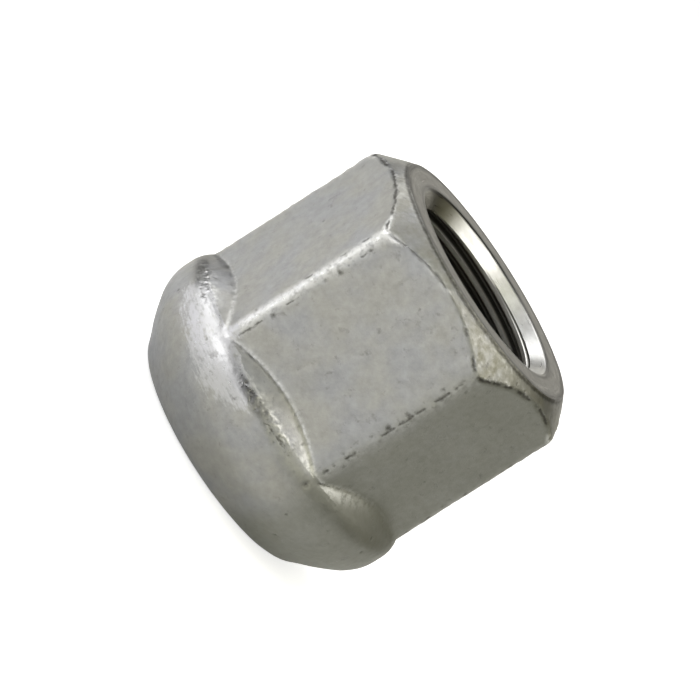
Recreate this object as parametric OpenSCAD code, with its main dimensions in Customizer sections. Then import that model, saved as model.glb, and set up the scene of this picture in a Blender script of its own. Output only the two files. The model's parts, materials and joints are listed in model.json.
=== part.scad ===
// Wheel lug nut, forged in one piece: a hexagon that runs out over a round flange, and under the
// flange a spherical seat that centres the wheel. The thread goes right through. The nut stands on its
// seat end, with the thread's axis along Z and the origin in the middle of that end.

/* [Hexagon] */
// Width across the flats, which the wrench holds
across_flats = 32; // [31:0.5:35]
// Radius that forging leaves along the six upright edges
hex_edge_r = 1.4; // [0.4:0.1:2.4]

/* [Outer end] */
// Whole height, from the seat end to the outer face
height = 35.2; // [30:0.2:44]
// Diameter of the flat outer face
outer_face_d = 29.9; // [27:0.1:30.5]
// Slope of the chamfer that trims the hexagon's corners, from the outer face
chamfer_angle = 43; // [25:1:55]

/* [Flange] */
// Largest diameter
flange_d = 38; // [37:0.2:40]
// Height of the upright band round the flange
flange_band_h = 0.8; // [0.4:0.1:3]
// Radius of the flange's upper edge
flange_edge_r = 3; // [1:0.25:4]
// Slope of the cone between the flange's edge and the hexagon
runout_angle = 41; // [20:1:55]

/* [Seat] */
// Radius of the ball that the seat is part of
ball_r = 22; // [21:0.5:26]
// Radius where the seat turns into the flange's band
seat_side_r = 6; // [3:0.5:7]
// Radius where the seat turns into the end face
nose_r = 4; // [2:0.5:5]
// Outer diameter of the flat end face
end_face_d = 22.8; // [22.8:0.1:24.5]

/* [Thread] */
// Nominal diameter
thread_d = 22; // [18:0.5:22]
// Pitch, which sets how far the hole is smaller than the thread
thread_pitch = 1.5; // [1:0.25:2]
// Diameter of the countersink at the outer face
outer_mouth_d = 23.3; // [22.2:0.1:25]
// Diameter of the countersink at the seat end
seat_mouth_d = 22.2; // [22.1:0.1:22.6]
// Slope of both countersinks, from the faces
mouth_angle = 45; // [30:5:60]

/* [Hidden] */

zinc = [0.63, 0.63, 0.61];
arc_step = 4;    // degrees between the points of an arc
overcut = 1;     // how far a cutter reaches past the metal
hex_inset = 1.5; // how far inside the flats the flange's cone ends

// A metric internal thread's crests stand 1.0825 pitches inside its nominal diameter.
bore_r = thread_d / 2 - 1.0825 * thread_pitch / 2;
outer_mouth_r = outer_mouth_d / 2;
seat_mouth_r = seat_mouth_d / 2;
outer_mouth_h = (outer_mouth_r - bore_r) * tan(mouth_angle);
seat_mouth_h = (seat_mouth_r - bore_r) * tan(mouth_angle);

flat_r = across_flats / 2;
corner_r = flat_r / cos(30);
outer_face_r = outer_face_d / 2;
end_face_r = end_face_d / 2;
flange_r = flange_d / 2;

// The ball's centre stands so high that the nose rolls from the end face into the ball.
ball_z = nose_r + sqrt((ball_r - nose_r) ^ 2 - end_face_r ^ 2);
nose_angle = atan2(nose_r - ball_z, end_face_r);

// The band starts where the arc between the ball and the band stands upright.
band_arc_r = flange_r - seat_side_r;
band_z = ball_z - sqrt((ball_r - seat_side_r) ^ 2 - band_arc_r ^ 2);
band_arc_angle = atan2(band_z - ball_z, band_arc_r);
band_top_z = band_z + flange_band_h;

// The flange's upper edge ends where the cone touches it.
edge_arc_r = flange_r - flange_edge_r;
cone_start_r = edge_arc_r + flange_edge_r * sin(runout_angle);
cone_start_z = band_top_z + flange_edge_r * cos(runout_angle);
cone_end_r = flat_r - hex_inset;
cone_end_z = cone_start_z + (cone_start_r - cone_end_r) * tan(runout_angle);

// Points of an arc round a centre, from one angle to another.
function arc(centre, r, from, to) =
    let (steps = max(1, ceil(abs(to - from) / arc_step)))
    [for (i = [0 : steps]) let (a = from + (to - from) * i / steps) centre + r * [cos(a), sin(a)]];

// The hexagon's outline, with each corner rolled between its two flats.
module hexagon_outline() {
    arc_centre = corner_r - hex_edge_r / cos(30);
    polygon([
        for (k = [0 : 5])
            let (a = 60 * k)
            each arc(arc_centre * [cos(a), sin(a)], hex_edge_r, a - 30, a + 30)
    ]);
}

// The turned chamfer: all that lies under the outer face and inside its cone.
module chamfer_envelope() {
    wide_r = max(corner_r, flange_r) + overcut;
    rotate_extrude($fn = 180)
        polygon([
            [0, 0],
            [wide_r, 0],
            [wide_r, height - (wide_r - outer_face_r) * tan(chamfer_angle)],
            [outer_face_r, height],
            [0, height],
        ]);
}

// The wrench's hexagon, from inside the flange up to the outer face.
module hexagon() {
    intersection() {
        translate([0, 0, band_z])
            linear_extrude(height - band_z)
                hexagon_outline();
        chamfer_envelope();
    }
}

// Seat and flange as one turned shape: end face, nose, ball, band, upper edge and run-out cone.
module seat_and_flange() {
    rotate_extrude($fn = 180)
        polygon(concat(
            [[0, 0]],
            arc([end_face_r, nose_r], nose_r, -90, nose_angle),
            arc([0, ball_z], ball_r, nose_angle, band_arc_angle),
            arc([band_arc_r, band_z], seat_side_r, band_arc_angle, 0),
            arc([edge_arc_r, band_top_z], flange_edge_r, 0, 90 - runout_angle),
            [[cone_end_r, cone_end_z], [0, cone_end_z]]
        ));
}

// The hole at the thread's crests, with a countersink at each end.
module thread_hole() {
    rotate_extrude($fn = 180)
        polygon([
            [0, -overcut],
            [seat_mouth_r + overcut / tan(mouth_angle), -overcut],
            [bore_r, seat_mouth_h],
            [bore_r, height - outer_mouth_h],
            [outer_mouth_r + overcut / tan(mouth_angle), height + overcut],
            [0, height + overcut],
        ]);
}

module lug_nut() {
    color(zinc)
        difference() {
            union() {
                hexagon();
                seat_and_flange();
            }
            thread_hole();
        }
}

lug_nut();
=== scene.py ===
# %% [markdown]
# # A forged wheel lug nut
#
# The nut is one piece of steel. It is forged hot, so its outside has rolled edges, laps and pits. Then
# the end, the countersinks and the thread are cut on a lathe, so those faces are crisp, and last the
# whole nut is zinc plated. The model is made in the same order: a forged blank first, then the cuts,
# then the zinc.
#
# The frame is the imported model. It gives the sizes, and the finished piece takes its node's place.

# %% Load the frame
import json
import math

import bmesh
import bpy
import numpy as np
from mathutils import Matrix, Vector, noise


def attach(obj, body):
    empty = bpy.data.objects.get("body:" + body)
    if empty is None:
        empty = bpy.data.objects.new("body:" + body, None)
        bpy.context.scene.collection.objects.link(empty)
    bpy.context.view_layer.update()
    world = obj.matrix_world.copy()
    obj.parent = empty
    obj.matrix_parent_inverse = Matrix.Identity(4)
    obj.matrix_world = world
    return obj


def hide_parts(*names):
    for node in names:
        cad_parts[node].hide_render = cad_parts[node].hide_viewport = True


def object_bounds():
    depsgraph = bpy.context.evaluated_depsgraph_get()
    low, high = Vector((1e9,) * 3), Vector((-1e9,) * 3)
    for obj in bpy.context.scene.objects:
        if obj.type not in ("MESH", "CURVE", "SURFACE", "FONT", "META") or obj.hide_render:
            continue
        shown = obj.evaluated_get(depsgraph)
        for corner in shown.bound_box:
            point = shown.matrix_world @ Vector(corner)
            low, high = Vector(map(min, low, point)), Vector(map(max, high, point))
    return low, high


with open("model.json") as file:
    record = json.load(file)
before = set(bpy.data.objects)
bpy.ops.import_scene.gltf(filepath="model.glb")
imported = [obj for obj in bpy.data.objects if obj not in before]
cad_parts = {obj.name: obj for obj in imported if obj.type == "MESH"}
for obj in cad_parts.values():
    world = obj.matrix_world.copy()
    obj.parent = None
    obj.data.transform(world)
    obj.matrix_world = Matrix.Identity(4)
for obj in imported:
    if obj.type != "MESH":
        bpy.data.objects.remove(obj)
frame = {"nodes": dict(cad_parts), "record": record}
cad_low, cad_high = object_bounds()

# %% [markdown]
# The nut is modelled in millimetres, which keeps the numbers short, and is scaled to metres when it is
# finished. Sizes that the frame knows are read from it. A few radii are measured on the frame's own
# mesh: the flats are the nearest points of the hexagon to the axis, and the flat outer face is a ring,
# so its inner and outer radius are the smallest and the largest in its plane. They could be typed in
# instead, but then the two models would drift apart when the source changes.

# %% Read the sizes, in millimetres
M_TO_MM = 1000.0
node = frame["nodes"]["lug_nut"]
mounts = {m["name"]: m for m in frame["record"]["mounts"]}
points = np.array([v.co for v in node.data.vertices]) * M_TO_MM
radii = np.hypot(points[:, 0], points[:, 1])

HEIGHT = cad_high.z * M_TO_MM
FLANGE_R = cad_high.x * M_TO_MM
BORE_R = mounts["thread"]["dims"]["r_mm"]
BALL_Z = mounts["ball_seat"]["pos_m"][2] * M_TO_MM
on_hexagon = points[:, 2] > 0.5 * HEIGHT
FLAT_R = float(np.abs(points[on_hexagon, 1]).max())
on_outer_face = points[:, 2] > HEIGHT - 0.01
OUTER_FACE_R = float(radii[on_outer_face].max())
OUTER_MOUTH_R = float(radii[on_outer_face].min())
on_end_face = points[:, 2] < 0.01
END_FACE_R = float(radii[on_end_face].max())
SEAT_MOUTH_R = float(radii[on_end_face].min())
print(f"height {HEIGHT:.2f}, flats {2 * FLAT_R:.2f}, flange {2 * FLANGE_R:.2f}, bore {2 * BORE_R:.3f}")
print(f"outer face {OUTER_MOUTH_R:.2f}-{OUTER_FACE_R:.2f}, end face {SEAT_MOUTH_R:.2f}-{END_FACE_R:.2f}")

# %% [markdown]
# The rest are the driving sizes of the nut's own shape, the same as in the part's source.

# %% Driving sizes, in millimetres and degrees
HEX_EDGE_R = 1.4        # radius along the six upright edges
CHAMFER_DEG = 43        # slope of the chamfer at the outer end
FLANGE_BAND_H = 0.8     # upright band round the flange
FLANGE_EDGE_R = 3.0     # radius of the flange's upper edge
RUNOUT_DEG = 41         # slope of the cone between flange and hexagon
BALL_R = 22.0           # the seat's ball
SEAT_SIDE_R = 6.0       # radius from the seat into the band
NOSE_R = 4.0            # radius from the seat into the end face
PITCH = 1.5             # of the thread
CORNER_R = FLAT_R / math.cos(math.radians(30))
print(f"across corners {2 * CORNER_R:.2f} before the edges are rounded")

# %% [markdown]
# Small helpers. An operator acts on everything that is selected, so `only` selects one object and makes
# it active, and `edit` opens it with nothing selected. `edges_where` then selects edges by their place.
# `report` counts triangles and open edges after each step, because a cut that fails shows there first.

# %% Helpers for selecting and reporting
def only(piece):
    """Selects one object and makes it active."""
    bpy.ops.object.select_all(action="DESELECT")
    piece.select_set(True)
    bpy.context.view_layer.objects.active = piece


def edit(piece, mode="EDGE"):
    """Opens the piece in edit mode with nothing selected."""
    only(piece)
    bpy.ops.object.mode_set(mode="EDIT")
    bpy.ops.mesh.select_mode(type=mode)
    bpy.ops.mesh.select_all(action="DESELECT")
    return bmesh.from_edit_mesh(piece.data)


def leave_edit():
    bpy.ops.object.mode_set(mode="OBJECT")


def edges_where(piece, mesh, test):
    """Selects the edges for which test(edge) is true."""
    for edge in mesh.edges:
        edge.select_set(test(edge))
    bmesh.update_edit_mesh(piece.data)


def report(piece, step):
    mesh = bmesh.new()
    mesh.from_mesh(piece.data)
    open_edges = sum(1 for edge in mesh.edges if len(edge.link_faces) != 2)
    triangles = sum(len(face.verts) - 2 for face in mesh.faces)
    print(f"{step}: {triangles} triangles, {open_edges} open edges, {mesh.calc_volume():.0f} mm3")
    mesh.free()

# %% [markdown]
# ## The forged blank
#
# The hexagon starts as a six-sided cylinder. Its corners point along X, as on the frame. Forging can't
# fill a sharp corner, so the six upright edges are bevelled round. The blank is made a little too tall,
# because the lathe faces it off later.

# %% The hexagon
SPARE = 0.4                                        # left on the outer end for the facing cut
BLANK_TOP = HEIGHT + SPARE
# The side radius touches the ball from inside, which fixes the height of its centre. The flange's
# upright band starts there.
BAND_Z = BALL_Z - math.sqrt((BALL_R - SEAT_SIDE_R) ** 2 - (FLANGE_R - SEAT_SIDE_R) ** 2)
BAND_TOP_Z = BAND_Z + FLANGE_BAND_H

bpy.ops.object.select_all(action="DESELECT")
bpy.ops.mesh.primitive_cylinder_add(
    vertices=6, radius=CORNER_R, depth=BLANK_TOP - BAND_Z,
    location=(0, 0, (BLANK_TOP + BAND_Z) / 2), rotation=(0, 0, math.radians(30)))
blank = bpy.context.object
blank.name = "lug_nut_zinc"
bpy.ops.object.transform_apply()
mesh = edit(blank)
edges_where(blank, mesh, lambda e: abs((e.verts[0].co - e.verts[1].co).z) > 1)
bpy.ops.mesh.bevel(offset=HEX_EDGE_R * math.tan(math.radians(30)), segments=8, profile=0.5)
leave_edit()
report(blank, "hexagon")

# %% [markdown]
# Three more helpers: faces are selected like edges, a modifier is added and applied in one go, and two
# pieces are combined by a boolean, after which the second one is removed.

# %% Helpers for faces, modifiers and booleans
def faces_where(piece, mesh, test):
    """Selects the faces for which test(face) is true."""
    for face in mesh.faces:
        face.select_set(test(face))
    bmesh.update_edit_mesh(piece.data)


def apply_modifier(piece, kind, **settings):
    only(piece)
    modifier = piece.modifiers.new(kind.lower(), kind)
    for key, value in settings.items():
        setattr(modifier, key, value)
    bpy.ops.object.modifier_apply(modifier=modifier.name)


def combine(piece, other, operation):
    apply_modifier(piece, "BOOLEAN", object=other, operation=operation, solver="EXACT")
    bpy.data.objects.remove(other)

# %% [markdown]
# The chamfer that trims the hexagon's corners is a cone. A cone with its tip cut off, extruded down past
# the hexagon, is everything that may stay, so the two are intersected. Cone and flats meet in the curved
# lines that every hexagon nut has. A bevel can't make them, because it follows the straight edges.

# %% The chamfered end
chamfer_slope = math.tan(math.radians(CHAMFER_DEG))
wide_r = CORNER_R + 2                              # the cone starts outside the corners
cone_top_r = OUTER_FACE_R - SPARE / chamfer_slope
cone_h = (wide_r - cone_top_r) * chamfer_slope
bpy.ops.mesh.primitive_cone_add(
    vertices=180, radius1=wide_r, radius2=cone_top_r, depth=cone_h,
    location=(0, 0, BLANK_TOP - cone_h / 2))
keep = bpy.context.object
bpy.ops.object.transform_apply()
mesh = edit(keep, "FACE")
faces_where(keep, mesh, lambda f: f.normal.z < -0.9)
bpy.ops.mesh.extrude_region_move(TRANSFORM_OT_translate={"value": (0, 0, cone_h - BLANK_TOP)})
leave_edit()
combine(blank, keep, "INTERSECT")
report(blank, "chamfered hexagon")

# %% [markdown]
# The flange and the ball seat are round, so they are built up like turned work: a disc is extruded ring
# by ring, and each ring is moved up and scaled to the next point of the profile. The profile is four
# arcs and a cone: nose, ball, side, upper edge, and the run-out cone that ends inside the hexagon.
# First come the points of the profile. Each arc ends at the angle where the next one touches it.

# %% Profile of the flange and seat
def arc(centre_r, centre_z, radius, start, end, step=4):
    """Points of an arc in the profile plane, from one angle to another, in degrees."""
    count = max(1, math.ceil(abs(end - start) / step))
    angles = [math.radians(start + (end - start) * i / count) for i in range(count + 1)]
    return [(centre_r + radius * math.cos(a), centre_z + radius * math.sin(a)) for a in angles]


side_centre_r = FLANGE_R - SEAT_SIDE_R
edge_centre_r = FLANGE_R - FLANGE_EDGE_R
nose_deg = math.degrees(math.atan2(NOSE_R - BALL_Z, END_FACE_R))
side_deg = math.degrees(math.atan2(BAND_Z - BALL_Z, side_centre_r))
profile = arc(END_FACE_R, NOSE_R, NOSE_R, -90, nose_deg)
profile += arc(0, BALL_Z, BALL_R, nose_deg, side_deg)[1:]
profile += arc(side_centre_r, BAND_Z, SEAT_SIDE_R, side_deg, 0)[1:]
profile += arc(edge_centre_r, BAND_TOP_Z, FLANGE_EDGE_R, 0, 90 - RUNOUT_DEG)
cone_r, cone_z = profile[-1]                       # where the run-out cone starts
inner_r = FLAT_R - 1.5                             # it ends inside the hexagon
profile.append((inner_r, cone_z + (cone_r - inner_r) * math.tan(math.radians(RUNOUT_DEG))))
print(f"profile of {len(profile)} points, run-out from r {cone_r:.2f} z {cone_z:.2f}")

# %% [markdown]
# Now the disc is raised along the profile and joined to the hexagon. The union alone makes the curved
# lines where the flats end below, and the crescents of the cone under them.

# %% The flange
bpy.ops.object.select_all(action="DESELECT")
bpy.ops.mesh.primitive_circle_add(
    vertices=180, radius=profile[0][0], fill_type="NGON", location=(0, 0, profile[0][1]))
flange = bpy.context.object
bpy.ops.object.transform_apply()
edit(flange, "FACE")
bpy.ops.mesh.select_all(action="SELECT")
for (r0, z0), (r1, z1) in zip(profile, profile[1:]):
    bpy.ops.mesh.extrude_region_move(TRANSFORM_OT_translate={"value": (0, 0, z1 - z0)})
    bpy.ops.transform.resize(value=(r1 / r0, r1 / r0, 1))
bpy.ops.mesh.select_all(action="SELECT")
bpy.ops.mesh.normals_make_consistent(inside=False)
leave_edit()
combine(blank, flange, "UNION")
report(blank, "blank")

# %% [markdown]
# A forging has no sharp line on it. A voxel remesh covers the blank with small even squares, and a light
# smoothing rolls each edge and fills each inner corner, as the die does. Bevels would do it too, but the
# curved lines where cone and flats meet are hard to bevel, and the small squares are also what the next
# steps shape.

# %% Roll the edges
VOXEL = 0.36
apply_modifier(blank, "REMESH", mode="VOXEL", voxel_size=VOXEL)
apply_modifier(blank, "SMOOTH", factor=0.5, iterations=2)
report(blank, "rolled blank")

# %% [markdown]
# Wear has to know where on the nut each vertex is. Six distances say it all: how far round the nut the
# vertex is, how far sideways from the nearest upright edge, how far outside the nearest flat, and how far
# from the three lines where two forged faces meet: flat and run-out cone (`crescent`), flat and chamfer
# (`shoulder`), and the flange's upper edge (`rim`).

# %% Where each vertex is
RUNOUT_SLOPE = math.tan(math.radians(RUNOUT_DEG))
RUNOUT_COS = math.cos(math.radians(RUNOUT_DEG))
CHAMFER_COS = math.cos(math.radians(CHAMFER_DEG))
CONE_END_Z = 16         # all of the run-out cone lies below this
SHOULDER_Z = 28         # all of the chamfer lies above this
RIM_RISE = 1.3          # the rim line lies this far above the band


def places(piece):
    """Place of each vertex, in millimetres and degrees. Round counts from -Y towards +X."""
    count = len(piece.data.vertices)
    co = np.empty(count * 3)
    piece.data.vertices.foreach_get("co", co)
    co = co.reshape(-1, 3)
    x, y, z = co.T
    r = np.hypot(x, y)
    round_deg = np.degrees(np.arctan2(x, -y))
    corner_deg = 30 + 60 * np.round((round_deg - 30) / 60)
    flat_deg = 60 * np.round(round_deg / 60)
    side = r * np.sin(np.radians(round_deg - corner_deg))
    flat_gap = r * np.cos(np.radians(round_deg - flat_deg)) - FLAT_R
    cone_gap = z - (cone_z + (cone_r - r) * RUNOUT_SLOPE)
    chamfer_gap = (HEIGHT - (r - OUTER_FACE_R) * chamfer_slope - z) * CHAMFER_COS
    on_cone = (flat_gap > 0.05) & (z < CONE_END_Z)
    crescent = np.where(on_cone, -flat_gap / RUNOUT_COS, cone_gap)
    on_chamfer = chamfer_gap < 0.05
    shoulder = np.where(on_chamfer, flat_gap / CHAMFER_COS, chamfer_gap)
    rim = (z - (BAND_TOP_Z + RIM_RISE)) / math.cos(math.radians(30))
    return {"co": co, "y": y, "z": z, "r": r, "round": round_deg, "corner": corner_deg, "flat": flat_deg,
            "side": side, "flat_gap": flat_gap, "crescent": crescent, "shoulder": shoulder, "rim": rim}


at = places(blank)
print(len(at["z"]), "vertices placed")

# %% [markdown]
# Nicks are the short shallow dents that nuts give each other in a box. Each one is a line on a flat, from
# one angle and height to another. The noted ones are those on the sides that show.

# %% Nicks
NICKS = [(10.1, 17.2, 11.5, 18.3), (11.2, 18.9, 12.6, 19.4), (-6.3, 16.2, -5.4, 18.0),
         (0.8, 22.2, 2.0, 22.8), (6.7, 21.6, 6.0, 22.6), (2.1, 24.8, 3.0, 25.6),
         (-12.2, 30.2, -12.6, 31.7), (7.1, 30.2, 8.0, 31.0), (-49.2, 20.3, -50.0, 21.2),
         (-67.1, 23.4, -65, 24.0), (48.4, 24.0, 50, 24.6), (57.2, 27.8, 57.5, 28.8)]


def spot_on_flat(round_deg, z):
    r = FLAT_R / math.cos(math.radians(round_deg - 60 * round(round_deg / 60)))
    a = math.radians(round_deg)
    return np.array([r * math.sin(a), -r * math.cos(a), z])


def nick_gap(at, ends):
    """Distance of each vertex from one nick."""
    start, end = spot_on_flat(*ends[:2]), spot_on_flat(*ends[2:])
    way = end - start
    share = np.clip((at["co"] - start) @ way / (way @ way), 0, 1)
    return np.sqrt(((at["co"] - start - share[:, None] * way) ** 2).sum(1))

# %% [markdown]
# The marks are only a few tenths of a millimetre wide, so the squares are halved near the nicks, along
# the three lines and along the upright edges, and left alone elsewhere. Halving them all would make four
# times as many, for nothing.

# %% Finer squares along the lines
def near_lines(at):
    above_cone = at["z"] > cone_z - 0.5
    upright = (np.abs(at["side"]) < 1.5) & (at["flat_gap"] > -0.4) & above_cone
    low = (np.abs(at["crescent"]) < 0.9) & above_cone & (at["z"] < 15)
    high = (np.abs(at["shoulder"]) < 0.8) & (at["z"] > SHOULDER_Z)
    face_edge = (np.abs(at["r"] - OUTER_FACE_R) < 0.7) & (at["z"] > HEIGHT - 1.2)
    rim = (np.abs(at["rim"]) < 1.1) & (at["flat_gap"] > 0.3) & (np.abs(at["round"]) < 100)
    nicked = np.min([nick_gap(at, ends) for ends in NICKS], axis=0) < 0.7
    return upright | low | high | face_edge | rim | nicked


near = near_lines(at)
mesh = edit(blank, "FACE")
mesh.verts.ensure_lookup_table()
faces_where(blank, mesh, lambda f: all(near[v.index] for v in f.verts))
bpy.ops.mesh.subdivide(number_cuts=1, quadcorner="INNERVERT")
leave_edit()
at = places(blank)
report(blank, "refined blank")

# %% [markdown]
# ## Forging marks and wear, with painted light and shade
#
# Each mark moves vertices along their normals, and most of them also leave a value between 0 and 1 on
# the vertex, which the zinc's material reads later: the bottom of a lap or pit is dark with scale and
# dirt and with painted shade, and a rubbed edge is bright with wear and a painted highlight. All marks are
# first added up in arrays, one number for each vertex, and are applied together at the end. A
# displacement texture could do this as well, but here every mark knows which line it belongs to.
#
# Three small functions shape them: `field` is smooth noise, `ramp` a step with soft ends and `bell` a
# hump round zero.

# %% Noise, steps and humps
def field(at, scale, seed):
    """Smooth noise of about -1 to 1 at every vertex. Its features are about `scale` mm wide."""
    shift = Vector((seed * 17.3, seed * 5.1, seed * 9.7))
    step = Vector((1 / scale, 1 / scale, 1 / scale))
    return np.array([noise.noise(Vector(p) * step + shift) for p in at["co"]]) * 1.6


def ramp(value, low, high):
    """0 up to `low`, 1 from `high` on, with a soft step between them."""
    t = np.clip((value - low) / (high - low), 0, 1)
    return t * t * (3 - 2 * t)


def bell(distance, width):
    return np.exp(-(distance / width) ** 2)

# %% [markdown]
# The whole skin is slightly uneven, as a die leaves it. The hole's place stays out of it, because it is
# cut later.

# %% Uneven skin
outside = ramp(at["r"], 11.5, 13.5)
slow, medium, fast = field(at, 5.0, 1), field(at, 1.6, 2), field(at, 0.7, 3)
quick = field(at, 0.45, 4)
push = outside * (0.030 * slow + 0.016 * medium)
dirt_and_shade = np.zeros(len(push))
print(f"uneven skin: {push.min():.3f} to {push.max():.3f} mm")

# %% [markdown]
# Laps are ragged cracks where the metal folded over. They run beside each upright edge, a little off it,
# and some have a raised lip. A noise along the line breaks them up. On the edge at 30 degrees the lap is
# the straightest and the most even one.

# %% Laps beside the upright edges
def lap(distance, width, depth, broken, where):
    """A ragged crack along distance = 0, open where `broken` is high."""
    amount = bell(distance, width) * ramp(broken, -0.1, 0.45) * where
    push[:] -= depth * amount
    # The crack's darkness is dirt and painted shade.
    dirt_and_shade[:] = np.maximum(dirt_and_shade, amount)


LAP_AT = np.array([0.72, -0.30, 0.6, -0.6, 0.5, -0.4])    # mm sideways, from the edge at -30 degrees on
edge = (np.round((at["corner"] + 30) / 60) % 6).astype(int)
even_edge = edge == 1
above_cone = ramp(at["z"], cone_z + 0.3, cone_z + 1.2)
upright = above_cone * ramp(at["shoulder"], 0.1, 0.6) * (at["flat_gap"] > -0.5)
push += 0.03 * bell(at["side"], 0.7) * fast * upright
waver = np.where(even_edge, 0.35, 1) * (0.16 * medium + 0.10 * fast)
from_lap = at["side"] - LAP_AT[edge] - waver
openness = medium + 0.5 * fast - 0.1 + 0.6 * even_edge
lap(from_lap, width=0.13 + 0.05 * even_edge, depth=0.07, broken=openness, where=upright)
# Beside the even lap: dirt and painted shade.
lap_dirt_and_shade = 0.55 * bell(from_lap, 0.40) * ramp(medium + fast, -0.5, 0.4)
dirt_and_shade = np.maximum(dirt_and_shade, lap_dirt_and_shade * upright * even_edge)
second_lap = at["side"] + 0.72 - 0.22 * medium
openness = medium + 0.4 * fast - 0.3
lap(second_lap, width=0.12, depth=0.06, broken=openness, where=upright * ~even_edge)
push += 0.05 * bell(from_lap - 0.3, 0.2) * ramp(fast, -0.2, 0.6) * upright
print(f"laps on the edges: {(dirt_and_shade > 0.5).sum()} vertices")

# %% [markdown]
# A lap also runs along the chamfer's curved lines, with a bead beside it, a thin ridge that is thickest
# over the front flat. Where the bead is thick, the lap is calm. One more lap lies round the outer face.

# %% Laps and bead at the shoulder
at_shoulder = (at["z"] > SHOULDER_Z) & (at["r"] > 13)
calm = 0.9 * bell(at["round"] + 9, 16)
from_line = at["shoulder"] - 0.10 - 0.08 * medium
openness = 0.3 + 0.5 * medium + 0.2 * fast - calm
lap(from_line, width=0.14, depth=0.07, broken=openness, where=at_shoulder)
bead = bell(at["round"] + 9, 9) * ramp(fast, -0.6, 0.1)
on_bead = bell(at["shoulder"] + 0.15, 0.22) * at_shoulder
push += (0.05 * ramp(medium, -0.2, 0.6) + 0.06 * bead) * on_bead
from_face = at["r"] - OUTER_FACE_R - 0.14
lap(from_face, width=0.20, depth=0.06, broken=0.5 + 0.1 * fast, where=at["z"] > HEIGHT - 0.8)
print(f"with the shoulder: {(dirt_and_shade > 0.5).sum()} vertices")

# %% [markdown]
# Below, a bead follows each crescent's line, and the flange's upper edge has two broken laps with a ridge
# between them, over the middle of each flat. The flat at 60 degrees has none.

# %% Beads at the crescents and laps on the rim
at_crescent = (at["z"] > cone_z) & (at["z"] < 14.6) & (at["flat_gap"] > -0.3)
push += 0.05 * bell(at["crescent"] - 0.2, 0.22) * (0.65 + 0.35 * medium) * at_crescent

at_rim = (at["flat_gap"] > 0.3) & (at["z"] < cone_z + 1.5)
mid_flat = bell(at["round"] - at["flat"] - 3, 12) * np.where(at["flat"] == 60, 0, 1)
over_flats = ramp(mid_flat, 0.25, 0.6) * at_rim
lower_lap = at["rim"] - 0.30 * medium - 0.2 * quick
lap(lower_lap, width=0.15, depth=0.08, broken=medium + 0.35, where=0.85 * over_flats)
upper_lap = at["rim"] - 0.80 + 0.3 * fast
lap(upper_lap, width=0.13, depth=0.06, broken=medium - 0.05, where=0.7 * over_flats)
push += 0.06 * bell(at["rim"] - 0.75, 0.3) * ramp(quick, -0.1, 0.6) * over_flats
print(f"with the rim: {(dirt_and_shade > 0.5).sum()} vertices")

# %% [markdown]
# Sockets and other nuts rub the zinc bright where it stands out, and the same value also paints
# highlights there: on the upright edges, each one worn differently, on the beads, at the corners' tips
# and on the cone near the corner at 30 degrees. Here only that value is set, because rubbing takes away
# next to nothing. One crescent is also filled a little, since it is shallower than the others.

# %% Worn metal and painted highlights
EDGE_WEAR_AND_HIGHLIGHT = np.array([1.0, 0.12, 0.5, 0.7, 0.4, 0.6])     # from the edge at -30 degrees on
# Wear and painted highlights on the upright edges, crescents, beads, tips and the cone by the corner.
wear_and_highlight = EDGE_WEAR_AND_HIGHLIGHT[edge] * bell(at["side"], 0.70) * upright
left_side = ramp(-at["round"], -60, -35)
wear_and_highlight = np.maximum(wear_and_highlight, 0.9 * bell(at["crescent"] - 0.1, 0.30) * at_crescent * left_side)
wear_and_highlight = np.maximum(wear_and_highlight, 0.8 * bell(at["rim"] - 0.9, 0.5) * ramp(quick, -0.1, 0.4) * over_flats)
wear_and_highlight = np.maximum(wear_and_highlight, bead * bell(at["shoulder"] + 0.15, 0.3) * at_shoulder)
tip = ramp(1 - np.hypot(at["side"] / 2.6, at["shoulder"] / 0.8), 0, 0.5) * at_shoulder
wear_and_highlight = np.maximum(wear_and_highlight, tip * ~even_edge)
back_half = at["y"] > 0
by_corner = bell(at["round"] - 32, np.where(at["round"] < 32, 14, 20)) + 0.4 * ramp(slow, 0, 0.5) * back_half
on_cone = (at["flat_gap"] > 0.05) & (at["z"] > cone_z - 0.3) & (at["z"] < 14)
wear_and_highlight = np.maximum(wear_and_highlight, by_corner * ramp(at["crescent"], -2.2, -0.6) * on_cone)

near_70 = bell(at["round"] - 70, 13) * (at["z"] < CONE_END_Z) * (at["z"] > cone_z)
push += 0.22 * bell(at["crescent"], 0.9) * near_70
print(f"worn: {(wear_and_highlight > 0.5).sum()} vertices")

# %% [markdown]
# Two patches on the flange are rubbed by whatever the nut lay against, and they are also painted bright
# as a highlight. Each has a middle, a half width and a slanting lower border. `seat` marks the turned ball
# seat, where the material adds fine rings.

# %% Rubbed patches with painted highlights, and the seat
RUB_AND_HIGHLIGHT_PATCHES = [(-31, 29, 6.3, 0.055), (152, 26, 6.6, 0.05)]      # middle, half width, lowest z, slant
seat = ramp(at["z"], BAND_TOP_Z + 0.4, BAND_TOP_Z - 0.6) * outside
rub_and_highlight = np.zeros(len(push))
on_flange = ramp(at["r"], 17.5, 18.3) * (at["z"] < 13)
# Each patch is worn and also painted bright as a highlight.
for middle, half, lowest, slant in RUB_AND_HIGHLIGHT_PATCHES:
    off = (at["round"] - middle + 180) % 360 - 180
    lower = lowest + slant * np.abs(off - 10) + 0.10 * np.maximum(off - 14, 0)
    here = ramp(at["z"], lower - 1.3, lower + 1.7) * ramp(half - np.abs(off), -4, 6)
    rub_and_highlight = np.maximum(rub_and_highlight, here * on_flange)
print(f"rubbed: {(rub_and_highlight > 0.5).sum()} vertices")

# %% [markdown]
# The chamfer is stained, most of all at the corner at 30 degrees, with bright spots in the stain, which
# are worn and partly painted highlights. The skin of the nut's right side is dull, and painted darker and
# slightly olive as painted shade.

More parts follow.
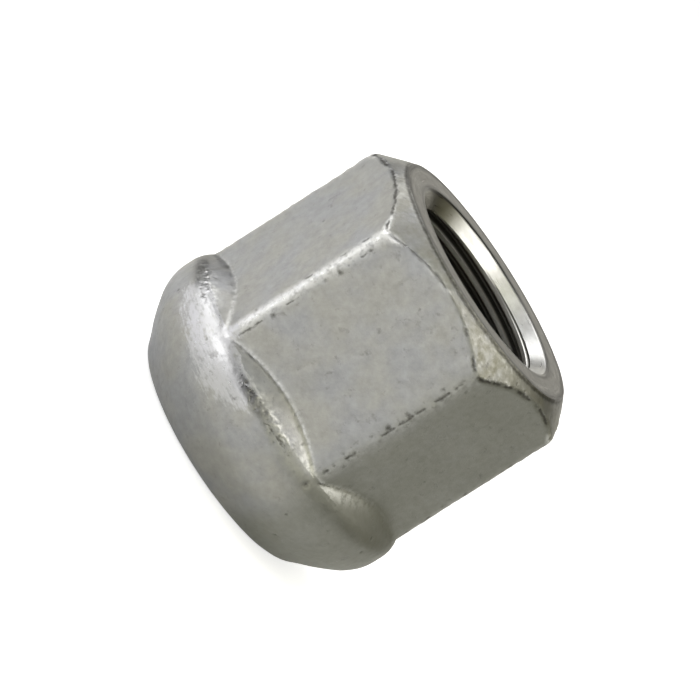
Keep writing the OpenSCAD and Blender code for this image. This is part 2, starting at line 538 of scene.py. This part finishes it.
# %% Stain, and painted shade on the right side
stain = at_shoulder * ramp(-at["shoulder"], 0.1, 0.5)
stain = stain * np.maximum(bell(at["round"] - 32, 24), 0.5 + 0.2 * ramp(slow, -0.2, 0.6) * back_half)
# Bright spots in the stain: wear and painted highlights.
wear_and_highlight = np.maximum(wear_and_highlight, 0.55 * ramp(quick, 0.25, 0.9) * ramp(stain, 0.6, 0.9))
# Painted shade over the nut's right side: darker, slightly olive, and rougher.
right_side = ramp(at["round"], 22, 38) * ramp(-at["round"], -170, -140)
shaded_side = right_side * (0.9 + 0.1 * slow) * (at["shoulder"] > -0.2)
print(f"stained: {(stain > 0.5).sum()}, dull: {(shaded_side > 0.5).sum()} vertices")

# %% [markdown]
# Pits are single small dents. The largest ones are placed one by one: on the flange, in a row along the
# rim over the front flat, and beside the two upright edges that show. A pit is moved to the nearest
# vertex, so that it sits on the surface.

# %% Pits
RIM_PITS = [(-10.8, 11.1, 18.6), (-7.5, 11.0, 18.6), (-6, 11.2, 18.5), (-3, 11.3, 18.3),
            (-1.4, 10.6, 18.9), (0.5, 11.2, 18.5), (3.2, 11.0, 18.7), (7, 10.6, 18.9),
            (10.6, 10.4, 19), (13.3, 11.0, 18.6), (15, 10.7, 18.9), (16.7, 10.9, 18.8)]
FLANGE_PITS = [(-73, 11.1, 18.6), (-61, 12.0, 17.5), (-60, 8.0, 19), (-8, 9.3, 19), (34, 6.6, 18.6),
               (43, 3.7, 16.6), (69, 9.5, 19), (68, 11.3, 18.3), (28.6, 10.5, 19), (32, 11.5, 18.1)]
RIGHT_EDGE_PITS = [(12.4, 0.2), (15.5, 0.25), (16.6, 0.18), (19.1, 0.25), (21.0, 0.4), (23.5, 0.35),
                   (25.7, 0.22), (28.2, 0.3)]
LEFT_EDGE_PITS = [(14.5, 0.2), (17.0, 0.38), (23.5, 0.24), (25.3, 0.36), (26.6, 0.2), (29.5, 0.28)]


def pit(round_deg, z, radius, depth, r=None):
    """One dent at an angle, a height and a distance from the axis, which is the flat's unless given."""
    centre = spot_on_flat(round_deg, z)
    if r:
        a = math.radians(round_deg)
        centre = np.array([r * math.sin(a), -r * math.cos(a), z])
    centre = at["co"][np.argmin(((at["co"] - centre) ** 2).sum(1))]
    amount = bell(np.sqrt(((at["co"] - centre) ** 2).sum(1)), radius)
    push[:] -= depth * amount
    # The pit's darkness is dirt and painted shade.
    dirt_and_shade[:] = np.maximum(dirt_and_shade, amount * min(1, depth / 0.1))


for round_deg, z, r in RIM_PITS:
    pit(round_deg, z, 0.20, 0.06, r)
for round_deg, z, r in FLANGE_PITS:
    pit(round_deg, z, 0.30, 0.08, r)
for z, radius in RIGHT_EDGE_PITS:
    pit(27.3 + 4 * (radius - 0.25), z, radius, 0.25 * radius)
for z, radius in LEFT_EDGE_PITS:
    pit(-27.3 + 4 * (radius - 0.25), z, radius, 0.3 * radius)
print(f"pits: deepest {push.min():.2f} mm")

# %% [markdown]
# The nicks are shallow and hardly darker than the zinc round them. Then 150 smaller dents are strewn over
# the whole outside, with a fixed seed, so that every run gives the same nut.

# %% Nicks and strewn dents
for ends in NICKS:
    gap = nick_gap(at, ends) + 0.12 * fast
    push -= 0.045 * bell(gap, 0.22)
    # A nick's faint darkness is dirt and painted shade.
    dirt_and_shade = np.maximum(dirt_and_shade, 0.25 * bell(gap, 0.16))

strew = np.random.default_rng(11)
forged = np.flatnonzero(outside > 0.9)
for index in strew.choice(forged, 150, replace=False):
    spot = at["co"][index]
    amount = bell(np.sqrt(((at["co"] - spot) ** 2).sum(1)), strew.uniform(0.16, 0.34))
    depth = strew.uniform(0.01, 0.05)
    push -= depth * amount
    # Each dent is darkened with dirt and painted shade.
    dirt_and_shade = np.maximum(dirt_and_shade, amount * strew.uniform(0.1, 0.6))
print(f"dark: {(dirt_and_shade > 0.5).sum()} vertices")

# %% [markdown]
# Now the vertices are moved along their normals. None may leave the frame's box, so those that would
# stand out past the flange are drawn in, and none goes below the end face. The values are stored as
# attributes on the mesh. They stay with it through the booleans that follow.

# %% Apply the marks
only(blank)
normals = np.empty(len(blank.data.vertices) * 3)
blank.data.vertices.foreach_get("normal", normals)
moved = at["co"] + normals.reshape(-1, 3) * push[:, None]
reach = np.hypot(moved[:, 0], moved[:, 1])
shrink = np.minimum(1, (FLANGE_R - 0.01) / reach)
moved[:, :2] *= shrink[:, None]
moved[:, 2] = np.maximum(moved[:, 2], 0)
blank.data.vertices.foreach_set("co", moved.ravel())
blank.data.update()
VALUES = {"dirt_and_shade": dirt_and_shade, "wear_and_highlight": wear_and_highlight, "stain": stain, "seat": seat, "rub_and_highlight": rub_and_highlight, "shaded_side": shaded_side}
for name, values in VALUES.items():
    attribute = blank.data.attributes.new(name, "FLOAT", "POINT")
    attribute.data.foreach_set("value", values.astype(float))
print(f"marks: deepest {push.min():.2f} mm, highest {push.max():.2f} mm")

# %% [markdown]
# ## The cuts
#
# The lathe faces the outer end off flat, which leaves a crisp ring. `bisect` with its outer side cleared
# does the same to the mesh. Its own fill leaves the new face apart from the rest, so the open border is
# selected and filled by itself.

# %% The facing cut
def cut_off(piece, z, up):
    """Cuts the piece off at height z, and closes the cut with one flat face."""
    edit(piece)
    bpy.ops.mesh.select_all(action="SELECT")
    bpy.ops.mesh.bisect(
        plane_co=(0, 0, z), plane_no=(0, 0, up), threshold=1e-5, use_fill=False, clear_outer=True)
    bpy.ops.mesh.select_all(action="DESELECT")
    mesh = bmesh.from_edit_mesh(piece.data)
    edges_where(piece, mesh, lambda e: len(e.link_faces) == 1
                and all(abs(v.co.z - z) < 1e-3 for v in e.verts))
    bpy.ops.mesh.edge_face_add()
    leave_edit()


cut_off(blank, HEIGHT, 1)
report(blank, "faced blank")

# %% [markdown]
# The thread is cut with a tool shaped like the bolt: one tooth of the metric profile, wound up by a Screw
# modifier, one pitch a turn. A tap leaves the same form. A bump texture would be lighter, but the turns
# show through the mouth, and their crests catch the light only if they are real. The tool is cut off
# flat at both ends: below the nut, and above inside the countersink, which is turned after tapping.

# %% The thread tool
TURN_STEPS = 128
crest_w, root_w = PITCH / 4, PITCH / 8
flank_w = (PITCH - crest_w - root_w) / 2
major_r = BORE_R + (PITCH - crest_w - root_w) / 2 / math.tan(math.radians(30))
tooth = [(BORE_R, 0), (BORE_R, crest_w), (major_r, crest_w + flank_w),
         (major_r, crest_w + flank_w + root_w), (BORE_R, PITCH)]
start_z = -2 * PITCH
tool_mesh = bpy.data.meshes.new("thread_tool")
tool_mesh.from_pydata([(r, 0, start_z + z) for r, z in tooth], [(i, i + 1) for i in range(4)], [])
tool = bpy.data.objects.new("thread_tool", tool_mesh)
bpy.context.collection.objects.link(tool)
turns = math.ceil((HEIGHT + 4 * PITCH) / PITCH)
apply_modifier(
    tool, "SCREW", angle=2 * math.pi, steps=TURN_STEPS, render_steps=TURN_STEPS, screw_offset=PITCH,
    iterations=turns, axis="Z", use_merge_vertices=True, merge_threshold=1e-4)
edit(tool)
bpy.ops.mesh.select_all(action="SELECT")
bpy.ops.mesh.remove_doubles(threshold=1e-3)
leave_edit()
cut_off(tool, -1.07, -1)
cut_off(tool, HEIGHT - 1.3, 1)
edit(tool)
bpy.ops.mesh.select_all(action="SELECT")
bpy.ops.mesh.normals_make_consistent(inside=False)
leave_edit()
report(tool, "thread tool")

# %% [markdown]
# The two countersinks are cones added to the same tool, and the tool is then taken away from the blank.
# Each cone reaches past the face, because two surfaces that lie exactly in one plane upset a boolean.

# %% Countersinks and the cut
def countersink(face_z, mouth_r, up):
    """A 45 degree cone whose radius is mouth_r in the face, reaching past the face and into the bore."""
    tip_r, over = BORE_R - 0.6, 1.4
    depth = mouth_r - tip_r + over
    ends = (tip_r, mouth_r + over) if up > 0 else (mouth_r + over, tip_r)
    bpy.ops.object.select_all(action="DESELECT")
    bpy.ops.mesh.primitive_cone_add(
        vertices=160, radius1=ends[0], radius2=ends[1], depth=depth,
        location=(0, 0, face_z + up * (over - depth / 2)), rotation=(0, 0, math.radians(1.1)))
    return bpy.context.object


combine(tool, countersink(HEIGHT, OUTER_MOUTH_R, 1), "UNION")
combine(tool, countersink(0, SEAT_MOUTH_R, -1), "UNION")
report(tool, "tool with countersinks")
combine(blank, tool, "DIFFERENCE")
report(blank, "threaded nut")

# %% [markdown]
# The edge between the outer face and its countersink is broken by handling, so it gets a small round
# bevel.

# %% Round the mouth's edge
def on_mouth_edge(v):
    return abs(v.co.z - HEIGHT) < 1e-3 and abs(v.co.xy.length - OUTER_MOUTH_R) < 0.05


mesh = edit(blank)
edges_where(blank, mesh, lambda e: all(on_mouth_edge(v) for v in e.verts))
bpy.ops.mesh.bevel(offset=0.32, segments=3, profile=0.5)
leave_edit()
report(blank, "rounded mouth")

# %% [markdown]
# The nut is scaled to metres. It is shaded smooth up to 35 degrees, which keeps the cut edges crisp, and
# weighted normals keep the large flat faces flat beside their small neighbours.

# %% To metres, and smooth shading
nut = blank
nut.data.transform(Matrix.Scale(1 / M_TO_MM, 4))
only(nut)
bpy.ops.object.shade_smooth_by_angle(angle=math.radians(35))
apply_modifier(nut, "WEIGHTED_NORMAL", keep_sharp=True, weight=50)
print("size in metres", [round(d, 4) for d in nut.dimensions])

# %% [markdown]
# ## The zinc
#
# A plated nut is one metal with three finishes: forged skin, turned faces, and the thread, where the
# plating is thin. Each is a material with procedural textures. Pictures would need unwrapping, and noise
# in object coordinates runs over the whole nut without a seam.
#
# `add_node` adds a node, wires it and sets its values in one go. The rest name the few kinds of node that
# come back all the time.

# %% Material helpers
def add_node(tree, kind, links=None, values=None, **settings):
    """Adds a node. `links` wires its inputs to outputs, and `values` sets its inputs."""
    new = tree.nodes.new(kind)
    for key, value in settings.items():
        setattr(new, key, value)
    for key, value in (values or {}).items():
        new.inputs[key].default_value = value
    for key, source in (links or {}).items():
        tree.links.new(source, new.inputs[key])
    return new


def new_material(name):
    material = bpy.data.materials.new(name)
    material.use_nodes = True
    return material, material.node_tree, material.node_tree.nodes["Principled BSDF"]


def give(tree, node, key, value):
    """Wires an input to an output socket, or sets it to a plain value."""
    if isinstance(value, bpy.types.NodeSocket):
        tree.links.new(value, node.inputs[key])
    else:
        node.inputs[key].default_value = value


def maths(tree, operation, first, second):
    new = add_node(tree, "ShaderNodeMath", operation=operation)
    give(tree, new, 0, first)
    give(tree, new, 1, second)
    return new.outputs[0]


def map_range(tree, value, low, high, new_low, new_high):
    return add_node(tree, "ShaderNodeMapRange", {"Value": value},
                    {1: low, 2: high, 3: new_low, 4: new_high}).outputs["Result"]


def mix_colour(tree, factor, first, second, blend="MIX"):
    new = add_node(tree, "ShaderNodeMix", data_type="RGBA", blend_type=blend)
    for key, value in ((0, factor), (6, first), (7, second)):
        give(tree, new, key, value)
    return new.outputs[2]

# %% [markdown]
# Places and patterns. `in_mm` gives the place on the nut in millimetres, so that the scale of a noise is
# its size on the real nut. A lathe leaves fine rings round the axis: `grooves` makes them from a noise
# that changes fast with the distance from the axis and only slowly round the nut. `mark` reads one of the
# values that the wear left on the vertices.

# %% Pattern helpers
def in_mm(tree, stretch=(1, 1, 1)):
    """Object coordinates in millimetres, stretched."""
    place = add_node(tree, "ShaderNodeTexCoord").outputs["Object"]
    scale = [M_TO_MM * f for f in stretch]
    return add_node(tree, "ShaderNodeVectorMath", {0: place}, {1: scale}, operation="MULTIPLY").outputs[0]


def clouds(tree, place, scale, detail=3.0, rough=0.5):
    return add_node(tree, "ShaderNodeTexNoise", {"Vector": place},
                    {"Scale": scale, "Detail": detail, "Roughness": rough}).outputs["Fac"]


def from_axis(tree):
    """Distance from the axis, in millimetres."""
    flat = in_mm(tree, (1, 1, 0))
    return add_node(tree, "ShaderNodeVectorMath", {0: flat}, operation="LENGTH").outputs["Value"]


def grooves(tree, along, detail=2.0):
    """Fine rings round the axis, `along` of them or so in a millimetre."""
    rings = maths(tree, "MULTIPLY", from_axis(tree), along)
    slowly = in_mm(tree, (0.35, 0.35, along))
    return add_node(tree, "ShaderNodeTexNoise", {"Vector": slowly, "W": rings},
                    {"Scale": 1.0, "Detail": detail, "Roughness": 0.6}, noise_dimensions="4D").outputs["Fac"]


def mark(tree, name):
    return add_node(tree, "ShaderNodeAttribute", attribute_name=name).outputs["Fac"]

# %% [markdown]
# The forged skin is a middling grey metal, a little cooler or warmer from place to place, with fine
# blotches. On the nut's right side painted shade, darker and slightly olive, lies over it. A metal's base
# colour is what it reflects, so it is set by how bright the real zinc looks in even light.

# %% Forged zinc: the plain skin
forged_zinc, tree, shader = new_material("forged_zinc")
COOL_ZINC, WARM_ZINC = (0.350, 0.353, 0.356, 1), (0.366, 0.362, 0.338, 1)
SIDE_SHADE = (0.290, 0.292, 0.262, 1)
place = in_mm(tree)
tint = map_range(tree, clouds(tree, place, 0.22, 4), 0.38, 0.62, 0, 1)
colour = mix_colour(tree, tint, COOL_ZINC, WARM_ZINC)
blotch = map_range(tree, clouds(tree, place, 0.9, 6, 0.7), 0.3, 0.7, 0.88, 1.10)
colour = mix_colour(tree, 1.0, colour, blotch, "MULTIPLY")
# Painted shade on the right side, darker and slightly olive.
colour = mix_colour(tree, mark(tree, "shaded_side"), colour, SIDE_SHADE)
print(len(tree.nodes), "nodes for the plain skin")

# %% [markdown]
# Worn and rubbed metal is brighter, and that brightness is also a painted highlight. Neither has a clean
# border on a real nut: the worn edges are broken up by a fine noise, and the rubbed patch by rings and
# scuffs, so that only the high spots shine.

# %% Forged zinc: worn and rubbed metal, with painted highlights
WORN_AND_HIGHLIT_METAL, RUBBED_AND_HIGHLIT_METAL = (0.68, 0.68, 0.66, 1), (0.50, 0.50, 0.505, 1)
wear_and_highlight_spots = map_range(tree, clouds(tree, place, 1.8, 4, 0.65), 0.35, 0.55, 0.25, 1)
wear_and_highlight_share = maths(tree, "MULTIPLY", mark(tree, "wear_and_highlight"), wear_and_highlight_spots)
# Worn metal, painted bright as wear and as a highlight.
colour = mix_colour(tree, wear_and_highlight_share, colour, WORN_AND_HIGHLIT_METAL)

rings = grooves(tree, 3.0, 3)
streaks = map_range(tree, rings, 0.35, 0.65, 0.25, 0.75)
scuffed = clouds(tree, in_mm(tree, (1.0, 1.0, 2.2)), 1.5, 4, 0.6)
scuffs = map_range(tree, scuffed, 0.35, 0.65, -0.3, 0.3)
ragged = maths(tree, "ADD", streaks, mark(tree, "rub_and_highlight"))
ragged = maths(tree, "ADD", ragged, scuffs)
# The rubbed patches: wear and a painted highlight.
rub_and_highlight_share = maths(tree, "MULTIPLY", map_range(tree, ragged, 0.95, 1.45, 0, 1), 0.9)
colour = mix_colour(tree, rub_and_highlight_share, colour, RUBBED_AND_HIGHLIT_METAL)
print(len(tree.nodes), "nodes with the wear")

# %% [markdown]
# Over that lie the chamfer's brown stain, small grey specks where the plating has bloomed, and last the
# dirt and painted shade in the laps and pits, which hides everything under it.

# %% Forged zinc: stain, specks, dirt and painted shade
STAIN, SPECK, DIRT_AND_SHADE = (0.235, 0.228, 0.18, 1), (0.19, 0.185, 0.175, 1), (0.07, 0.067, 0.058, 1)
patchy = map_range(tree, clouds(tree, place, 0.7, 5, 0.65), 0.35, 0.65, 0.2, 1)
colour = mix_colour(tree, maths(tree, "MULTIPLY", mark(tree, "stain"), patchy), colour, STAIN)
speck = map_range(tree, clouds(tree, place, 0.85, 3, 0.65), 0.62, 0.76, 0, 1)
colour = mix_colour(tree, maths(tree, "MULTIPLY", speck, 0.5), colour, SPECK)
# Dirt and painted shade in the laps, pits, nicks and dents, with a ragged border.
ragged = map_range(tree, clouds(tree, place, 2.6, 3, 0.6), 0.3, 0.7, -0.25, 0.25)
dirt_and_shade_amount = maths(tree, "ADD", mark(tree, "dirt_and_shade"), ragged)
colour = mix_colour(tree, map_range(tree, dirt_and_shade_amount, 0.25, 1.0, 0, 0.85), colour, DIRT_AND_SHADE)
tree.links.new(colour, shader.inputs["Base Color"])
shader.inputs["Metallic"].default_value = 1.0
print(len(tree.nodes), "nodes with the dirt")

# %% [markdown]
# Plated forgings have a satin sheen: fairly rough, smoother where they are worn and painted bright, and
# rougher on the right side, where shade is painted. Four bumps give the grain that the mesh is too coarse
# for: the die's grain, the plating's finer one, the specks as small hollows, and the rings on the turned
# seat. The distances are in metres.

# %% Forged zinc: roughness and grain
bright = maths(tree, "MAXIMUM", wear_and_highlight_share, rub_and_highlight_share)
rough = map_range(tree, clouds(tree, place, 1.4, 4), 0.3, 0.7, 0.36, 0.50)
rough = maths(tree, "SUBTRACT", rough, maths(tree, "MULTIPLY", bright, 0.12))
rough = maths(tree, "ADD", rough, maths(tree, "MULTIPLY", mark(tree, "shaded_side"), 0.18))
tree.links.new(rough, shader.inputs["Roughness"])

hollow = maths(tree, "MULTIPLY", speck, -1)
seat_rings = maths(tree, "MULTIPLY", rings, mark(tree, "seat"))
BUMPS = ((clouds(tree, place, 0.8, 5, 0.6), 0.00009), (clouds(tree, place, 4.0, 3, 0.6), 0.000018),
         (hollow, 0.00004), (seat_rings, 0.00003))
normal = None
for height, distance in BUMPS:
    bump = add_node(tree, "ShaderNodeBump", {"Height": height}, {"Distance": distance, "Strength": 0.65})
    if normal:
        tree.links.new(normal, bump.inputs["Normal"])
    normal = bump.outputs[0]
tree.links.new(normal, shader.inputs["Normal"])
print(len(tree.nodes), "nodes in the forged zinc")

# %% [markdown]
# The lathe cuts the outer face and the countersinks, so they are smoother and have fine rings. The
# countersink is the cleanest metal on the nut, and one side of it is painted darker and olive as painted
# shade. The ring round it is greyer from lying on shelves, with dirt along its inner edge and a dark band
# along its outer one. All three are told apart by their distance from the axis.

# %% Turned zinc
turned_zinc, tree, shader = new_material("turned_zinc")
GREY_DIRT, OUTER_EDGE_DARK = (0.09, 0.087, 0.08, 1), (0.07, 0.067, 0.06, 1)
CONE_SIDE_SHADE = (0.24, 0.232, 0.20, 1)
place = in_mm(tree)
distance = from_axis(tree)
blotch = map_range(tree, clouds(tree, place, 0.8, 5, 0.6), 0.3, 0.7, 0, 1)
ring = mix_colour(tree, blotch, (0.29, 0.28, 0.255, 1), (0.40, 0.395, 0.37, 1))
cone = mix_colour(tree, blotch, (0.50, 0.495, 0.47, 1), (0.66, 0.66, 0.645, 1))
across = add_node(tree, "ShaderNodeSeparateXYZ", {0: place}).outputs["X"]
# One side of the countersink is painted darker and olive, as painted shade.
cone = mix_colour(tree, map_range(tree, across, -9.5, -6.5, 1, 0), cone, CONE_SIDE_SHADE)
on_ring = map_range(tree, distance, OUTER_MOUTH_R - 0.05, OUTER_MOUTH_R + 0.25, 0, 1)
colour = mix_colour(tree, on_ring, cone, ring)
mouth_line = map_range(tree, distance, OUTER_MOUTH_R + 0.45, OUTER_MOUTH_R + 0.80, 0.6, 0)
colour = mix_colour(tree, maths(tree, "MULTIPLY", on_ring, mouth_line), colour, GREY_DIRT)
# A dark band along the ring's outer edge.
outer_edge_dark = map_range(tree, distance, OUTER_FACE_R - 0.90, OUTER_FACE_R - 0.45, 0, 0.8)
colour = mix_colour(tree, outer_edge_dark, colour, OUTER_EDGE_DARK)
tree.links.new(colour, shader.inputs["Base Color"])
shader.inputs["Metallic"].default_value = 1.0
rings = grooves(tree, 5.0)
tree.links.new(map_range(tree, rings, 0.3, 0.7, 0.26, 0.40), shader.inputs["Roughness"])
cut = add_node(tree, "ShaderNodeBump", {"Height": rings}, {"Distance": 0.00002, "Strength": 0.6})
tree.links.new(cut.outputs[0], shader.inputs["Normal"])
print(len(tree.nodes), "nodes in the turned zinc")

# %% [markdown]
# Inside the thread the zinc is thin and oily. The valleys between the turns are painted dark as painted
# shade, and the crests, which every bolt rubs, are painted bright, partly as wear and partly as a painted
# highlight. Again the distance from the axis tells them apart.

# %% Thread zinc
thread_zinc, tree, shader = new_material("thread_zinc")
CREST_WEAR_AND_HIGHLIGHT, VALLEY_SHADE = (0.78, 0.77, 0.73, 1), (0.17, 0.165, 0.15, 1)
deep = map_range(tree, from_axis(tree), BORE_R + 0.08, BORE_R + 0.40, 0, 1)
# Painted shade in the valleys, and wear with a painted highlight on the crests.
tree.links.new(mix_colour(tree, deep, CREST_WEAR_AND_HIGHLIGHT, VALLEY_SHADE), shader.inputs["Base Color"])
shader.inputs["Metallic"].default_value = 1.0
shader.inputs["Roughness"].default_value = 0.32
print(len(tree.nodes), "nodes in the thread zinc")

# %% [markdown]
# Now each face gets its zinc. The slots are filled first, because clearing them sets every face back to
# the first one. A face in the outer face's plane is turned. In the hole, a face that lies on the slope of
# a countersink is turned as well, and the others are thread. This simple rule also gives the thread's
# zinc to the narrow end face, which isn't right, but it stands on the floor and is never seen.

# %% Which face has which zinc
FORGED, TURNED, THREAD = 0, 1, 2


def zinc_of(centre):
    r = math.hypot(centre.x, centre.y)
    if centre.z > HEIGHT - 0.02:
        return TURNED
    if r >= OUTER_MOUTH_R + 0.4:
        return FORGED
    outer_depth = centre.z - HEIGHT + OUTER_MOUTH_R - BORE_R
    seat_depth = SEAT_MOUTH_R - BORE_R - centre.z
    return TURNED if r - BORE_R < max(outer_depth, seat_depth) + 0.02 else THREAD


nut.data.materials.clear()
for material in (forged_zinc, turned_zinc, thread_zinc):
    nut.data.materials.append(material)
for face in nut.data.polygons:
    face.material_index = zinc_of(face.center * M_TO_MM)
print("faces of each zinc", np.bincount([f.material_index for f in nut.data.polygons]))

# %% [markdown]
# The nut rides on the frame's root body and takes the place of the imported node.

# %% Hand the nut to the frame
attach(nut, "root")
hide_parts("lug_nut")
print(nut.name, "rides on root")

# %% [markdown]
# ## The studio
#
# The nut stands on a white floor that fills the picture. The floor is a matt disc, and a weak glow seen
# by the camera alone makes it plain white without putting more light on the nut. Rays that come off the
# metal see another, much weaker glow, so the zinc mirrors a pale floor and not a blinding one.

# %% Floor
FLOOR_GLOW, MIRRORED_GLOW = 0.7, 0.22
bpy.ops.object.select_all(action="DESELECT")
bpy.ops.mesh.primitive_circle_add(vertices=64, radius=2.5, fill_type="NGON")
floor = bpy.context.object
floor.name = "floor"
floor_material, tree, shader = new_material("floor_white")
shader.inputs["Base Color"].default_value = (0.85, 0.85, 0.85, 1)
shader.inputs["Roughness"].default_value = 1.0
shader.inputs["Specular IOR Level"].default_value = 0.0
rays = add_node(tree, "ShaderNodeLightPath").outputs
mirrored = maths(tree, "MAXIMUM", rays["Is Glossy Ray"], rays["Is Transmission Ray"])
mirrored = maths(tree, "MULTIPLY", mirrored, MIRRORED_GLOW)
direct = maths(tree, "MULTIPLY", rays["Is Camera Ray"], FLOOR_GLOW)
glow = maths(tree, "MAXIMUM", mirrored, direct)
shader.inputs["Emission Color"].default_value = (1, 1, 1, 1)
tree.links.new(glow, shader.inputs["Emission Strength"])
floor.data.materials.append(floor_material)
print("floor", round(floor.dimensions.x, 2), "m across")

# %% [markdown]
# The nut is to be seen lying over to one side. It stands here, so the camera is rolled instead. It looks
# from nearly level with a long lens, because small parts are pictured from well away, where their lines
# hardly converge. A small shift in the camera's own plane sets the nut in the middle of the frame.

# %% Camera
ROLL_DEG, ELEVATION_DEG, AZIMUTH_DEG = 57.51, 11.97, 3.75
VIEW_DISTANCE = 0.8333
FOCAL_OF_FRAME = 7747 / 700             # focal length, in widths of the picture
SHIFT_RIGHT, SHIFT_UP = -0.000412, 0.001736
MIDDLE = Vector((0, 0, 0.018))          # about the middle of the nut


def direction(azimuth, elevation):
    """Unit vector. Azimuth counts from -Y towards +X, elevation up from the floor."""
    a, e = math.radians(azimuth), math.radians(elevation)
    return Vector((math.sin(a) * math.cos(e), -math.cos(a) * math.cos(e), math.sin(e)))


back = direction(AZIMUTH_DEG, ELEVATION_DEG)
level = back.to_track_quat("Z", "Y")
camera_data = bpy.data.cameras.new("camera")
camera = bpy.data.objects.new("camera", camera_data)
bpy.context.collection.objects.link(camera)
camera_data.sensor_width = 36
camera_data.lens = 36 * FOCAL_OF_FRAME
rolled = level.to_matrix() @ Matrix.Rotation(math.radians(ROLL_DEG), 3, "Z")
camera.matrix_world = rolled.to_4x4()
right, up = rolled.col[0].copy(), rolled.col[1].copy()
camera.location = MIDDLE + right * SHIFT_RIGHT + up * SHIFT_UP + back * VIEW_DISTANCE
camera_data.clip_start, camera_data.clip_end = 0.01, 20
bpy.context.scene.camera = camera
print("camera at", camera.location, "lens", round(camera_data.lens), "mm")

# %% [markdown]
# Metal shows its surroundings more than its own colour, so the lamps are softboxes of even brightness,
# and each one stands where one surface of the nut mirrors it towards the camera. The radiance is given
# as what the metal sees, and the power follows from it and from the lamp's size. The large lamps on the
# left light the flats and the seat, those on the right and above the crescents, the chamfer and the
# countersink, and those behind the ring and the far side of the hole.

# %% Softboxes
def softbox(name, azimuth, elevation, width, height, distance, radiance, colour=(1, 1, 1)):
    """A lamp of even radiance that faces the nut. Elevation None stands it upright on the floor."""
    data = bpy.data.lights.new(name, "AREA")
    data.shape = "RECTANGLE"
    data.size, data.size_y = width, height
    data.energy = radiance * math.pi * width * height
    data.color = colour
    lamp = bpy.data.objects.new(name, data)
    bpy.context.collection.objects.link(lamp)
    if elevation is None:
        way = direction(azimuth, 0)
        lamp.location = way * distance + Vector((0, 0, height / 2))
    else:
        way = direction(azimuth, elevation)
        lamp.location = MIDDLE + way * distance
    lamp.rotation_euler = way.to_track_quat("Z", "Y").to_euler()
    lamp.visible_camera = False


# name, azimuth, elevation, width, height, distance, radiance, colour
softbox("key_wide", -80, None, 0.45, 0.35, 0.40, 1.65)
softbox("key_front", -48, None, 0.22, 0.25, 0.40, 1.5)
softbox("key_high", -75, 52, 0.35, 0.30, 0.50, 0.75)
softbox("left", -100, 25, 0.25, 0.20, 0.50, 0.95)
softbox("left_back", -125, 32, 0.12, 0.12, 0.50, 1.6)
softbox("left_back_high", -119, 42, 0.07, 0.07, 0.50, 1.4)
softbox("front_low", -8, None, 0.30, 0.15, 0.45, 1.65)
softbox("top", 60, 78, 0.15, 0.15, 0.50, 3.8, (1.0, 0.97, 0.93))
softbox("top_left", -58, 75, 0.20, 0.20, 0.50, 1.3, (1.0, 1.0, 0.86))
softbox("right_high", 98, 60, 0.26, 0.26, 0.50, 2.1, (1.0, 0.99, 0.95))
softbox("right_front", 32, 38, 0.42, 0.62, 0.50, 1.0, (1.0, 0.99, 0.80))
softbox("right", 120, 30, 0.42, 0.55, 0.50, 0.25, (1.0, 0.95, 0.6))
softbox("back_low", 183, None, 0.45, 0.16, 0.45, 0.9, (1.0, 0.97, 0.88))
softbox("back_left_high", -145, 44, 0.28, 0.28, 0.50, 2.4)

# %% [markdown]
# The underside of the seat mirrors the floor right beside the nut, which lies in its shadow. A small
# spot from above lights just that part of the floor. The world adds a trace of light from everywhere, so
# that no corner is quite black.

# %% Spot on the floor, and the world
POOL_RADIUS, POOL_HEIGHT, POOL_DISTANCE = 0.045, 0.25, 0.072
pool = bpy.data.lights.new("floor_pool", "SPOT")
pool.energy = 1.4
pool.color = (0.8, 0.8, 1.0)
pool.spot_blend = 0.6
pool.shadow_soft_size = 0.01
pool.spot_size = 2 * math.atan(POOL_RADIUS / POOL_HEIGHT)
pool_lamp = bpy.data.objects.new("floor_pool", pool)
pool_lamp.location = direction(-72, 0) * POOL_DISTANCE + Vector((0, 0, POOL_HEIGHT))
bpy.context.collection.objects.link(pool_lamp)
pool_lamp.visible_camera = False

world = bpy.data.worlds.new("studio")
bpy.context.scene.world = world
world.use_nodes = True
world.node_tree.nodes["Background"].inputs["Color"].default_value = (0.02, 0.02, 0.02, 1)
bpy.context.scene.view_settings.view_transform = "Standard"
print("spot on the floor", round(math.degrees(pool.spot_size), 1), "degrees wide")
